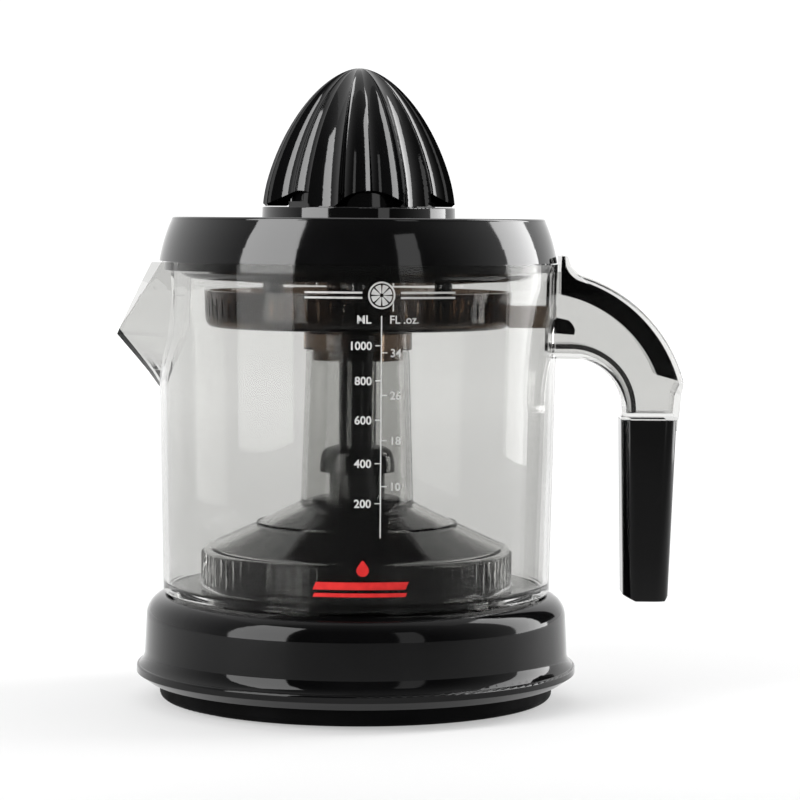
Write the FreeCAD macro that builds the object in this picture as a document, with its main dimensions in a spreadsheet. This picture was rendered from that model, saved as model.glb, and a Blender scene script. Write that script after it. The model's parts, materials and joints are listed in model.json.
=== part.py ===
"""Citrus press: a jug that stands over a motor tower, a juice collector and a fluted reamer.

Frame: millimetres, +Z up, origin on the drive shaft's axis at the table. The jug's handle
points to +X, its spout to -X, and the cord gland is at the back, on +Y.
"""
import FreeCAD, Part
import math
import os
import Sketcher
from fcgear import fcgear, involute

Vector = FreeCAD.Vector
Rotation = FreeCAD.Rotation
Placement = FreeCAD.Placement

doc = FreeCAD.newDocument("citrus_press")

# ---------------------------------------------------------------- driving dimensions

DIMENSIONS = {
    "gap": 0.3,                     # clearance between bodies that move apart
    "shell": 2.5,                   # wall of the base housing and bottom plate
    "foot_radius": 73.6,
    "foot_lift": 0.8,               # bottom plate above the table
    "flange_radius": 82.3,
    "flange_low": 7.6,
    "base_wall_low": 79.2,          # radius of the base wall just above the flange
    "base_wall_top": 78.6,          # radius where the shoulder starts
    "shoulder_start": 31.3,
    "shoulder_round": 8.6,
    "deck_top": 39.9,
    "tower_radius": 54.0,
    "tower_top": 53.5,
    "tower_nose": 71.5,
    "jug_low": 40.2,
    "jug_wall": 2.2,
    "jug_radius_low": 72.4,
    "jug_radius_top": 74.9,
    "jug_top": 163.4,
    "drum_radius": 58.0,
    "drum_top": 55.2,
    "column_radius_low": 21.0,
    "column_radius_top": 19.3,
    "column_low": 74.6,
    "column_top": 130.4,
    "spout_tip_reach": 90.2,
    "spout_tip_height": 136.0,
    "arm_width": 24.0,
    "arm_wall": 2.0,
    "arm_outer_x": 66.8,            # centre of the arm's outer curve
    "arm_outer_z": 105.1,
    "arm_outer_round": 56.5,
    "arm_inner_x": 79.25,           # centre of the arm's inner curve
    "arm_inner_z": 109.4,
    "arm_inner_round": 19.2,
    "grip_top": 105.7,
    "grip_low": 38.1,
    "ring_low": 163.7,
    "ring_top": 180.0,
    "ring_radius_low": 74.2,
    "ring_radius_top": 69.7,
    "bowl_floor": 158.0,
    "bowl_hole": 33.5,
    "basket_radius": 57.5,
    "basket_low": 139.2,
    "basket_top": 152.8,
    "chimney_radius": 12.0,
    "chimney_bore": 9.0,
    "chimney_top": 176.0,
    "cone_low": 184.2,
    "cone_tip": 235.6,
    "cone_radius": 35.9,
    "small_ring_radius": 36.6,
    "shaft_radius": 7.0,
    "shaft_top": 205.0,
    "head_flats": 10.0,             # across flats of the hexagon that drives the cone
    "drive_flats": 9.0,             # across flats of the hexagon inside the output gear
    "tube_radius": 10.4,
    "tube_top": 84.6,
    "gear_module": 0.8,
    "mesh_slack": 0.12,             # added to each centre distance for backlash
    "plate_low": 43.0,
    "plate_top": 46.0,
    "plate_radius": 47.5,
    "axle_radius": 2.0,
    "motor_low": 10.0,
    "core_low": 16.0,
    "core_height": 14.0,
    "pole_bore": 11.5,
    "rotor_radius": 10.8,
    "rotor_shaft_radius": 1.5,
    "screw_radius": 1.5,
    "press_travel": 1.5,
}
PRESSURE_ANGLE = 25.0
PINION_TEETH = 12
WHEEL_TEETH = 50
OUTPUT_TEETH = 58
COMPOUND_DIRECTION = 90.0           # from the output gear's axis to the compound gear's
MOTOR_DIRECTION = -15.0             # from the compound gear's axis to the motor's
CONE_RIBS = 6
FIRST_RIB_ANGLE = -111.0            # a rib to the left of the front
PLATE_SCREW_ANGLE = 10.0            # clear of the motor's long screws
PLATE_SCREW_RING = 44.0
PILLAR_ANGLE = 22.5
FOOT_ANGLE = 67.5
FOOT_RING = 61.0
GLAND_HEIGHT = 24.5

sheet = doc.addObject("Spreadsheet::Sheet", "sizes")
for row, (alias, value) in enumerate(DIMENSIONS.items(), start=1):
    sheet.set("A%d" % row, alias)
    sheet.set("B%d" % row, str(value))
    sheet.setAlias("B%d" % row, alias)
doc.recompute()


class Size:
    """A length together with the spreadsheet formula that it comes from."""

    def __init__(self, value, formula):
        self.value = float(value)
        self.formula = formula

    def combine(self, other, sign, swapped=False):
        left, right = (other, self) if swapped else (self, other)
        a, b = float(left), float(right)
        result = {"+": a + b, "-": a - b, "*": a * b}[sign] if sign != "/" else a / b
        return Size(result, "(%s %s %s)" % (formula_of(left), sign, formula_of(right)))

    def __float__(self):
        return self.value

    def __add__(self, other):
        return self.combine(other, "+")

    def __radd__(self, other):
        return self.combine(other, "+", swapped=True)

    def __sub__(self, other):
        return self.combine(other, "-")

    def __rsub__(self, other):
        return self.combine(other, "-", swapped=True)

    def __mul__(self, other):
        return self.combine(other, "*")

    def __rmul__(self, other):
        return self.combine(other, "*", swapped=True)

    def __truediv__(self, other):
        return self.combine(other, "/")

    def __neg__(self):
        return self.combine(-1.0, "*")


def formula_of(length):
    return length.formula if isinstance(length, Size) else "%.6f" % length


class Sizes:
    """The sheet's cells, read by alias."""

    def __getattr__(self, alias):
        return Size(sheet.get(alias), "sizes." + alias)


D = Sizes()

# ---------------------------------------------------------------- modelling helpers


def bind(thing, prop, length):
    """Set a property from a plain number or tie it to the sheet."""
    if isinstance(length, Size):
        thing.setExpression(prop, length.formula)
    else:
        thing.setExpression(prop, "%.6f" % length)


def place(thing, x=0.0, y=0.0, z=0.0):
    for letter, length in zip("xyz", (x, y, z)):
        bind(thing, "Placement.Base." + letter, length)


def polar(radius, degrees):
    """A point on a circle about the origin, still tied to the radius's formula."""
    angle = math.radians(degrees)
    return radius * math.cos(angle), radius * math.sin(angle)


def outline(sketch, corners):
    """Draw a closed outline. A corner is (x, y), or (x, y, bulge) when an arc arrives there:
    its radius is bulge, with the centre on the left of the way when bulge is positive."""
    count = len(corners)
    points = [Vector(float(c[0]), float(c[1]), 0) for c in corners]
    starts, ends = [], []
    for i in range(count):
        first, last = points[i - 1], points[i]
        bulge = corners[i][2] if len(corners[i]) > 2 else None
        if bulge is None:
            geo = sketch.addGeometry(Part.LineSegment(first, last), False)
            starts.append((geo, 1))
            ends.append((geo, 2))
            continue
        radius = abs(float(bulge))
        side = 1.0 if float(bulge) > 0 else -1.0
        chord = last - first
        rise = math.sqrt(max(radius ** 2 - (chord.Length / 2) ** 2, 0.0))
        normal = Vector(-chord.y, chord.x, 0).normalize()
        centre = (first + last) * 0.5 + normal * (rise * side)
        begin, finish = (first, last) if side > 0 else (last, first)
        angles = [math.atan2(p.y - centre.y, p.x - centre.x) for p in (begin, finish)]
        circle = Part.Circle(centre, Vector(0, 0, 1), radius)
        geo = sketch.addGeometry(Part.ArcOfCircle(circle, angles[0], angles[1]), False)
        starts.append((geo, 1 if side > 0 else 2))
        ends.append((geo, 2 if side > 0 else 1))
        index = sketch.addConstraint(Sketcher.Constraint("Radius", geo, radius))
        if isinstance(bulge, Size):
            size = bulge if side > 0 else -bulge
            sketch.setExpression("Constraints[%d]" % index, size.formula)
    for i in range(count):
        following = starts[(i + 1) % count]
        sketch.addConstraint(Sketcher.Constraint("Coincident", *ends[i], *following))
        for kind, length in zip(("DistanceX", "DistanceY"), corners[i][:2]):
            if abs(float(length)) < 1e-9:
                axis = -2 if kind == "DistanceX" else -1
                sketch.addConstraint(Sketcher.Constraint("PointOnObject", *ends[i], axis))
                continue
            index = sketch.addConstraint(
                Sketcher.Constraint(kind, -1, 1, *ends[i], float(length)))
            if isinstance(length, Size):
                sketch.setExpression("Constraints[%d]" % index, length.formula)


def new_body(label):
    body = doc.addObject("PartDesign::Body", label)
    body.Label = label
    return body


def origin_plane(body, role):
    return next(f for f in body.Origin.OriginFeatures if f.Role == role)


def sketch_on(body, role, name, corners):
    sketch = body.newObject("Sketcher::SketchObject", name)
    sketch.AttachmentSupport = [(origin_plane(body, role), "")]
    sketch.MapMode = "FlatFace"
    outline(sketch, corners)
    return sketch


def turned(label, corners):
    """A body of revolution about Z from an outline of (radius, height) corners."""
    body = new_body(label)
    sketch = sketch_on(body, "XZ_Plane", label + "_profile", corners)
    turn = body.newObject("PartDesign::Revolution", label + "_turn")
    turn.Profile = sketch
    turn.ReferenceAxis = (sketch, ["V_Axis"])
    turn.Angle = 360.0
    body.Tip = turn
    return body


def side_padded(label, corners, width):
    """A prism along Y, centred on the XZ plane, over an outline of (x, z) corners."""
    body = new_body(label)
    sketch = sketch_on(body, "XZ_Plane", label + "_outline", corners)
    pad = body.newObject("PartDesign::Pad", label + "_pad")
    pad.Profile = sketch
    pad.Midplane = True
    bind(pad, "Length", width)
    body.Tip = pad
    return body


def round_side_edges(body, radius, shortest=22.0):
    """Round the long edges that bound a side-padded body's two flat faces."""
    doc.recompute()
    pad = body.Tip
    bound = pad.Shape.BoundBox
    names = []
    for number, edge in enumerate(pad.Shape.Edges, start=1):
        depth = [abs(v.Point.y) for v in edge.Vertexes]
        flat = all(abs(y - bound.YMax) < 1e-4 for y in depth)
        clear_of_jug = all(v.Point.x > 80.0 for v in edge.Vertexes)
        same_side = edge.Vertexes[0].Point.y * edge.Vertexes[-1].Point.y > 0
        if flat and same_side and clear_of_jug and edge.Length > shortest:
            names.append("Edge%d" % number)
    fillet = body.newObject("PartDesign::Fillet", body.Label + "_round")
    fillet.Base = (pad, names)
    bind(fillet, "Radius", radius)
    body.Tip = fillet
    return body


def cylinder(name, radius, low, height, x=0.0, y=0.0):
    rod = doc.addObject("Part::Cylinder", name)
    bind(rod, "Radius", radius)
    bind(rod, "Height", height)
    place(rod, x, y, low)
    return rod


def lying_cylinder(name, radius, length, x, y, z, degrees):
    """A rod that starts at a point and runs level in the direction given in degrees."""
    rod = doc.addObject("Part::Cylinder", name)
    rod.Placement = Placement(Vector(), Rotation(degrees, 90.0, 0.0))
    bind(rod, "Radius", radius)
    bind(rod, "Height", length)
    place(rod, x, y, z)
    return rod


def block(name, low_corner, lengths, turn=0.0):
    box = doc.addObject("Part::Box", name)
    box.Placement = Placement(Vector(), Rotation(turn, 0.0, 0.0))
    for prop, length in zip(("Length", "Width", "Height"), lengths):
        bind(box, prop, length)
    place(box, *low_corner)
    return box


def radial_block(name, near, far, width, low, height, degrees):
    """A block that runs outwards from the axis, from one radius to another."""
    start_x, start_y = polar(near, degrees)
    side_x, side_y = polar(width * 0.5, degrees - 90.0)
    return block(name, (start_x + side_x, start_y + side_y, low),
                 (far - near, width, height), degrees)


def hexagon(name, flats, low, height):
    prism = doc.addObject("Part::Prism", name)
    prism.Polygon = 6
    bind(prism, "Circumradius", flats / math.sqrt(3.0))
    bind(prism, "Height", height)
    place(prism, 0.0, 0.0, low)
    return prism


def compound(name, pieces):
    group = doc.addObject("Part::Compound", name)
    group.Links = pieces
    return group


def fused(label, *pieces):
    fusion = doc.addObject("Part::MultiFuse", label)
    fusion.Shapes = list(pieces)
    fusion.Label = label
    return fusion


def cut(label, base, *tools):
    tool = tools[0] if len(tools) == 1 else fused(label + "_tools", *tools)
    result = doc.addObject("Part::Cut", label)
    result.Base = base
    result.Tool = tool
    result.Label = label
    return result


def tube(label, outer, inner, low, height, x=0.0, y=0.0):
    return cut(label, cylinder(label + "_outer", outer, low, height, x, y),
               cylinder(label + "_bore", inner, low - 1.0, height + 2.0, x, y))


def at_angles(make, first, count):
    return [make(first + 360.0 * i / count) for i in range(count)]


NODES = {}


def node(name, thing):
    """Register a finished piece under the name of its file."""
    thing.Label = name
    NODES[name] = thing
    return thing


# ---------------------------------------------------------------- base


def base_housing():
    wall = D.shell
    shoulder_x = D.base_wall_top - D.shoulder_round
    inner_round = D.shoulder_round - wall
    inside = D.base_wall_top - wall
    profile = [
        (71.4, D.flange_low),
        (78.0, D.flange_low),
        (D.flange_radius, D.flange_low + 3.0),
        (D.flange_radius, D.flange_low + 5.0),
        (D.flange_radius - 0.9, D.flange_low + 5.9, 0.9),
        (D.base_wall_low, D.flange_low + 10.4, -6.0),
        (D.base_wall_top, D.shoulder_start),
        (shoulder_x, D.deck_top, D.shoulder_round),
        (D.tower_radius, D.deck_top),
        (D.tower_radius - 0.8, D.tower_top),
        (D.tower_radius - 3.5, D.tower_top + 2.5, 3.2),
        (17.5, D.tower_nose),
        (12.0, D.tower_nose),
        (12.0, D.tower_nose - 3.0),
        (16.5, D.tower_nose - 3.0),
        (D.tower_radius - 5.2, D.tower_top - 0.1),
        (D.tower_radius - 3.0, D.tower_top - 2.2, -2.2),
        (D.tower_radius - wall, D.deck_top - wall),
        (shoulder_x, D.deck_top - wall),
        (inside, D.shoulder_start, -inner_round),
        (D.base_wall_low - wall, D.flange_low + 7.0),
        (71.4, D.flange_low + 4.4),
    ]
    shell = turned("housing_shell", profile)
    ring = shoulder_x - 6.0
    pillars = at_angles(lambda a: cylinder("housing_pillar", 4.0, 5.4, D.deck_top - 7.0,
                                           *polar(ring, a)), PILLAR_ANGLE, 4)
    bosses = at_angles(lambda a: cylinder("plate_boss", 4.0, D.plate_top, 10.6,
                                          *polar(PLATE_SCREW_RING, a)), PLATE_SCREW_ANGLE, 3)
    pilot = D.screw_radius
    holes = at_angles(lambda a: cylinder("pillar_hole", pilot, 4.0, 14.0, *polar(ring, a)),
                      PILLAR_ANGLE, 4)
    holes += at_angles(lambda a: cylinder("boss_hole", pilot, D.plate_top - 1.0, 8.0,
                                          *polar(PLATE_SCREW_RING, a)), PLATE_SCREW_ANGLE, 3)
    holes.append(lying_cylinder("gland_hole", 6.0, 12.0, 0.0, 70.0, GLAND_HEIGHT, 90.0))
    return cut("base_housing", fused("housing_solid", shell, *pillars, *bosses), *holes)


def bottom_plate():
    lift = D.foot_lift
    floor_top = lift + D.shell
    profile = [
        (0.0, lift),
        (D.foot_radius - 2.2, lift),
        (D.foot_radius, lift + 2.2, 2.2),
        (D.foot_radius, D.flange_low - D.gap),
        (71.0, D.flange_low - D.gap),
        (71.0, D.flange_low + 3.4),
        (71.0 - D.shell, D.flange_low + 3.4),
        (71.0 - D.shell, floor_top),
        (0.0, floor_top),
    ]
    plate = turned("plate_turned", profile)
    ring = D.base_wall_top - D.shoulder_round - 6.0
    collars = at_angles(lambda a: cylinder("screw_collar", 5.0, floor_top - 0.2, 2.0,
                                           *polar(ring, a)), PILLAR_ANGLE, 4)
    holes = at_angles(lambda a: cylinder("screw_hole", 1.7, 0.0, 8.0, *polar(ring, a)),
                      PILLAR_ANGLE, 4)
    holes += at_angles(lambda a: cylinder("head_recess", 3.4, 0.0, lift + 1.9,
                                          *polar(ring, a)), PILLAR_ANGLE, 4)
    holes += [cylinder("foot_recess", 7.1, 0.0, lift + 1.2, x, y) for x, y in foot_places()]
    vents = at_angles(lambda a: radial_block("vent", 18.0, 34.0, 2.4, 0.0, 6.0, a), 0.0, 12)
    return cut("bottom_plate", fused("plate_solid", plate, *collars), *holes, *vents)


def foot_places():
    """Four feet round the rim, and one under the shaft, where the fruit is pressed down."""
    return at_angles(lambda a: polar(FOOT_RING, a), FOOT_ANGLE, 4) + [(0.0, 0.0)]


def rubber_feet():
    tread = 0.6
    pads = [fused("foot",
                  cylinder("foot_pad", 7.0, tread, D.foot_lift + 1.2 - tread, x, y),
                  cylinder("foot_tread", 6.0, 0.0, tread, x, y))
            for x, y in foot_places()]
    return compound("rubber_feet", pads)


def screw(name, x, y, head_low, head_radius, shank_radius, length):
    """A cross-slotted screw, driven upwards."""
    head = cylinder(name + "_head", head_radius, head_low, 1.6, x, y)
    shank = cylinder(name + "_shank", shank_radius, head_low + 1.5, length, x, y)
    slots = [block(name + "_slot", (x - a * 0.5, y - b * 0.5, head_low - 0.1), (a, b, 0.9))
             for a, b in ((3.4, 0.8), (0.8, 3.4))]
    return cut(name, fused(name + "_blank", head, shank), *slots)


def bottom_screws():
    ring = D.base_wall_top - D.shoulder_round - 6.0
    screws = at_angles(lambda a: screw("bottom_screw", *polar(ring, a), D.foot_lift + 0.3,
                                       3.0, D.screw_radius, 13.0), PILLAR_ANGLE, 4)
    return compound("bottom_screws", screws)


def cord_gland():
    """The cord's inlet, moulded rubber, in the back wall."""
    body = lying_cylinder("gland_body", 5.9, 9.6, 0.0, 72.0, GLAND_HEIGHT, 90.0)
    lip = lying_cylinder("gland_lip", 7.4, 1.6, 0.0, 79.1, GLAND_HEIGHT, 90.0)
    collar = lying_cylinder("gland_collar", 7.4, 2.0, 0.0, 73.8, GLAND_HEIGHT, 90.0)
    bore = lying_cylinder("gland_bore", 3.3, 14.0, 0.0, 70.0, GLAND_HEIGHT, 90.0)
    return cut("cord_gland", fused("gland_solid", body, lip, collar), bore)


# ---------------------------------------------------------------- shaft and its bearings


def drive_shaft():
    shoulder = 66.0
    head_low = D.chimney_top + 0.5
    hexagon_low = D.plate_top + D.press_travel + 0.8
    return fused("drive_shaft",
                 cylinder("shaft_pin", 4.0, 40.5, hexagon_low - 40.0),
                 hexagon("shaft_drive", D.drive_flats, hexagon_low, shoulder - hexagon_low),
                 cylinder("shaft_round", D.shaft_radius, shoulder, head_low - shoulder),
                 hexagon("shaft_head", D.head_flats, head_low, D.shaft_top - head_low))


def splash_flinger():
    """An umbrella on the shaft that throws juice clear of the guide tube."""
    bore = D.shaft_radius
    profile = [
        (12.4, 85.2),
        (14.05, 85.2),
        (13.6, 90.6, 22.0),
        (11.1, 94.2, 4.6),
        (bore, 95.2),
        (bore, 90.2),
        (10.6, 90.0),
        (12.2, 88.2, -2.2),
    ]
    return turned("splash_flinger", profile)


def guide_tube():
    seat = D.tower_nose
    bore = 8.6
    profile = [
        (bore, seat - 5.5),
        (11.9, seat - 5.5),
        (11.9, seat),
        (16.2, seat),
        (16.8, seat + 3.6),
        (D.tube_radius + 0.8, seat + 4.2, 8.0),
        (D.tube_radius, seat + 5.0, -0.8),
        (D.tube_radius, D.tube_top - 0.6),
        (D.tube_radius - 0.6, D.tube_top, 0.6),
        (bore, D.tube_top),
    ]
    return turned("guide_tube", profile)


# ---------------------------------------------------------------- gears


def gear_blank(name, teeth, low, height, centre, tooth_angle):
    """An involute spur gear with one tooth pointing along tooth_angle."""
    wires = fcgear.FCWireBuilder()
    module = float(D.gear_module)
    involute.CreateExternalGear(wires, module, teeth, PRESSURE_ANGLE, True, 1.0, 1.25, 0.3)
    wire = Part.Wire([edge.toShape() for edge in wires.wire])
    gear = doc.addObject("Part::Feature", name)
    gear.Shape = Part.Face(wire).extrude(Vector(0, 0, float(height)))
    gear.Placement = Placement(Vector(float(centre[0]), float(centre[1]), float(low)),
                               Rotation(tooth_angle, 0.0, 0.0))
    return gear


def pitch_radius(teeth):
    return D.gear_module * (teeth * 0.5)


STAGE_OUT = pitch_radius(PINION_TEETH) + pitch_radius(OUTPUT_TEETH) + D.mesh_slack
STAGE_IN = pitch_radius(PINION_TEETH) + pitch_radius(WHEEL_TEETH) + D.mesh_slack
COMPOUND_AT = polar(STAGE_OUT, COMPOUND_DIRECTION)
REACH_X, REACH_Y = polar(STAGE_IN, MOTOR_DIRECTION)
MOTOR_AT = (COMPOUND_AT[0] + REACH_X, COMPOUND_AT[1] + REACH_Y)


def meshing_angle(direction, teeth):
    """Where a driven gear's tooth points so that a gap faces back along the direction."""
    return direction + 180.0 + 180.0 / teeth


def output_gear():
    rim = gear_blank("output_teeth", OUTPUT_TEETH, 51.0, 6.0, (0.0, 0.0), COMPOUND_DIRECTION)
    hub = cylinder("output_hub", 6.5, D.plate_top + 0.6, 11.0)
    lightening = at_angles(lambda a: cylinder("lightening", 4.2, 50.0, 8.0, *polar(14.4, a)),
                           30.0, 6)
    bore = hexagon("output_bore", D.drive_flats + 0.16, 40.0, 20.0)
    return cut("output_gear", fused("output_solid", rim, hub), bore, *lightening)


def compound_gear():
    wheel = gear_blank("compound_wheel", WHEEL_TEETH, 47.0, 2.8, COMPOUND_AT, MOTOR_DIRECTION)
    pinion = gear_blank("compound_pinion", PINION_TEETH, 49.6, 8.0, COMPOUND_AT,
                        meshing_angle(COMPOUND_DIRECTION, PINION_TEETH))
    bore = cylinder("compound_bore", D.axle_radius + 0.05, 40.0, 20.0, *COMPOUND_AT)
    return cut("compound_gear", fused("compound_solid", wheel, pinion), bore)


def motor_pinion():
    teeth = gear_blank("motor_teeth", PINION_TEETH, 46.6, 3.4, MOTOR_AT,
                       meshing_angle(MOTOR_DIRECTION, PINION_TEETH))
    bore = cylinder("motor_pinion_bore", D.rotor_shaft_radius, 40.0, 20.0, *MOTOR_AT)
    return cut("motor_pinion", teeth, bore)


def gear_axle():
    pin = cylinder("axle_pin", D.axle_radius, D.plate_low, 16.4, *COMPOUND_AT)
    groove = tube("axle_groove", D.axle_radius + 1.0, D.axle_radius - 0.4, 57.9, 0.6,
                  *COMPOUND_AT)
    return cut("gear_axle", pin, groove)


def axle_clip():
    """A spring clip in the axle's groove, open to one side."""
    x, y = COMPOUND_AT
    ring = tube("clip_ring", 3.6, D.axle_radius - 0.35, 57.95, 0.5, x, y)
    mouth = block("clip_mouth", (x - 1.1, y, 57.0), (2.2, 5.0, 2.0))
    return cut("axle_clip", ring, mouth)


def gearbox_plate():
    disc = cylinder("plate_disc", D.plate_radius, D.plate_low, D.plate_top - D.plate_low)
    shaft_hole = cylinder("plate_shaft_hole", 4.06, 40.0, 10.0)
    axle_hole = cylinder("plate_axle_hole", D.axle_radius, 40.0, 10.0, *COMPOUND_AT)
    motor_hole = cylinder("plate_motor_hole", 5.4, 40.0, 10.0, *MOTOR_AT)
    screws = at_angles(lambda a: cylinder("plate_screw_hole", 1.7, 40.0, 10.0,
                                          *polar(PLATE_SCREW_RING, a)), PLATE_SCREW_ANGLE, 3)
    windows = [cylinder("plate_window", 7.0, 40.0, 10.0, *polar(29.0, a))
               for a in (190.0, 235.0, 305.0, 350.0)]
    long_screws = [cylinder("plate_long_screw_hole", D.screw_radius, 40.0, 10.0, x, y)
                   for x, y in long_screw_places()]
    feet = [cylinder("bracket_screw_hole", 1.2, 40.0, 10.0, -17.0, side) for side in (-3.0, 3.0)]
    return cut("gearbox_plate", disc, shaft_hole, axle_hole, motor_hole, *screws, *windows,
               *long_screws, *feet)


def plate_screws():
    screws = at_angles(lambda a: screw("plate_screw", *polar(PLATE_SCREW_RING, a),
                                       D.plate_low - 1.6, 3.0, D.screw_radius, 9.0),
                       PLATE_SCREW_ANGLE, 3)
    return compound("plate_screws", screws)


# ---------------------------------------------------------------- motor


def long_screw_places():
    x, y = MOTOR_AT
    return [(x - 16.0, y), (x + 16.0, y)]


def stator_core():
    """A stack of U-shaped laminations with a round pole bore and a window for the coil."""
    x, y = MOTOR_AT
    low, height = D.core_low, D.core_height
    stack = block("core_stack", (x - 20.0, y - 14.0, low), (40.0, 43.0, height))
    bore = cylinder("core_bore", D.pole_bore, low - 1.0, height + 2.0, x, y)
    window = block("core_window", (x - 12.0, y + 13.0, low - 1.0), (24.0, 8.4, height + 2.0))
    air_gap = block("core_gap", (x - 0.8, y - 15.0, low - 1.0), (1.6, 28.0, height + 2.0))
    holes = [cylinder("core_hole", 1.7, low - 1.0, height + 2.0, *spot)
             for spot in long_screw_places()]
    return cut("stator_core", stack, bore, window, air_gap, *holes)


def coil_parts():
    """The bobbin that slips over the core's back leg, and the winding on it."""
    x, y = MOTOR_AT
    low, height = D.core_low, D.core_height
    leg_low, leg_depth = y + 21.4, 7.6
    clear = 0.2
    inner = (x - 11.8, leg_low - clear, low - clear)
    sleeve = block("bobbin_sleeve", (inner[0], inner[1] - 1.0, inner[2] - 1.0),
                   (23.6, leg_depth + 2.4, height + 2.4))
    flanges = [block("bobbin_flange", (edge, leg_low - 5.6, low - 5.0),
                     (1.4, leg_depth + 11.2, height + 10.0))
               for edge in (x - 11.8, x + 10.4)]
    hole = block("bobbin_hole", (x - 14.0, inner[1], inner[2]),
                 (28.0, leg_depth + 0.4, height + 0.4))
    bobbin = cut("coil_bobbin", fused("bobbin_solid", sleeve, *flanges), hole)
    wound = block("coil_wound", (x - 10.4, leg_low - 5.0, low - 4.4),
                  (20.8, leg_depth + 10.0, height + 8.8))
    core = block("coil_core", (x - 12.0, leg_low - 1.2, low - 1.2),
                 (24.0, leg_depth + 2.4, height + 2.4))
    return bobbin, cut("coil_winding", wound, core)


def rotor_parts():
    x, y = MOTOR_AT
    low, height = D.core_low, D.core_height
    shaft = cylinder("motor_shaft", D.rotor_shaft_radius, D.motor_low - 2.0, 42.0, x, y)
    rotor = tube("motor_rotor", D.rotor_radius, D.rotor_shaft_radius, low - 1.0, height + 2.0,
                 x, y)
    return shaft, rotor


def bracket(label, low):
    """A strap across the core that holds one of the rotor's bushes."""
    x, y = MOTOR_AT
    strap = block(label + "_strap", (x - 20.0, y - 5.0, low), (40.0, 10.0, 2.0))
    eye = cylinder(label + "_eye", 7.0, low, 2.0, x, y)
    bore = cylinder(label + "_bore", 4.0, low - 1.0, 4.0, x, y)
    holes = [cylinder(label + "_hole", 1.7, low - 1.0, 4.0, *spot)
             for spot in long_screw_places()]
    return cut(label, fused(label + "_solid", strap, eye), bore, *holes)


def motor_bushes():
    return compound("motor_bushes",
                    [tube("motor_bush", 4.0, D.rotor_shaft_radius + 0.04, low, 3.0, *MOTOR_AT)
                     for low in (D.motor_low, D.core_low + D.core_height + 3.0)])


def motor_spacers():
    """Tubes that hold the brackets off the core, and the core off the gearbox plate."""
    core_top = D.core_low + D.core_height
    spans = [(D.motor_low + 2.0, D.core_low - D.motor_low - 2.0), (core_top, 3.5),
             (core_top + 5.5, D.plate_low - core_top - 5.5)]
    return compound("motor_spacers", [tube("spacer", 3.0, 1.7, low, length, x, y)
                                      for x, y in long_screw_places()
                                      for low, length in spans])


def motor_screws():
    length = D.plate_top - D.motor_low
    return compound("motor_screws",
                    [screw("long_screw", x, y, D.motor_low - 1.6, 2.8, D.screw_radius, length)
                     for x, y in long_screw_places()])


# ---------------------------------------------------------------- switch and spring


SWITCH_LOW = 27.0
BUTTON_TOP = 40.2


def microswitch():
    case = block("switch_case", (-14.0, -3.2, SWITCH_LOW), (20.0, 6.4, 10.0))
    well = block("switch_well", (-1.6, -1.6, SWITCH_LOW + 4.0), (3.2, 3.2, 8.0))
    pins = [block("switch_pin", (x, -0.4, SWITCH_LOW - 4.0), (1.0, 0.8, 4.2))
            for x in (-12.5, -4.5, 3.5)]
    return fused("microswitch", cut("switch_body", case, well), *pins)


def switch_button():
    stem = block("button_stem", (-1.5, -1.5, SWITCH_LOW + 6.0), (3.0, 3.0,
                                                               BUTTON_TOP - SWITCH_LOW - 6.8))
    cap = cylinder("button_cap", 1.5, BUTTON_TOP - 0.9, 0.9)
    return fused("switch_button", stem, cap)


def switch_bracket():
    """A folded strap that hangs from the gearbox plate and carries the switch."""
    face = -4.7
    strap = block("switch_strap", (-20.0, face, SWITCH_LOW), (14.5, 1.5, 14.6))
    ledge = block("switch_ledge", (-20.0, face, SWITCH_LOW), (22.0, 1.5, 10.0))
    foot = block("switch_foot", (-20.0, face, D.plate_low - 1.5), (7.0, 11.0, 1.5))
    holes = [cylinder("foot_hole", 1.2, 40.0, 5.0, -17.0, side) for side in (-3.0, 3.0)]
    return cut("switch_bracket", fused("switch_strap_solid", strap, ledge, foot), *holes)


def return_spring():
    """A coil spring round the shaft's hexagon, between the gear's washer and the shoulder."""
    wire_radius = 0.5
    low, high = 58.4 + wire_radius, 66.0 - wire_radius
    coil = doc.addObject("Part::Helix", "spring_path")
    coil.Pitch = (high - low) / 3.5
    coil.Height = high - low
    coil.Radius = 6.5
    place(coil, 0.0, 0.0, low)
    section = doc.addObject("Part::Circle", "spring_wire")
    section.Radius = wire_radius
    section.Placement = Placement(Vector(6.5, 0.0, low), Rotation(Vector(1, 0, 0), 90.0))
    spring = doc.addObject("Part::Sweep", "return_spring")
    spring.Sections = [section]
    spring.Spine = coil
    spring.Solid = True
    spring.Frenet = True
    return spring


def terminal_block():
    base = block("terminal_base", (-10.0, 48.0, D.foot_lift + D.shell), (20.0, 10.0, 11.0))
    wells = [cylinder("terminal_well", 1.8, 8.0, 10.0, x, 53.0) for x in (-6.5, 0.0, 6.5)]
    return cut("terminal_block", base, *wells)


# ---------------------------------------------------------------- jug


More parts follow.
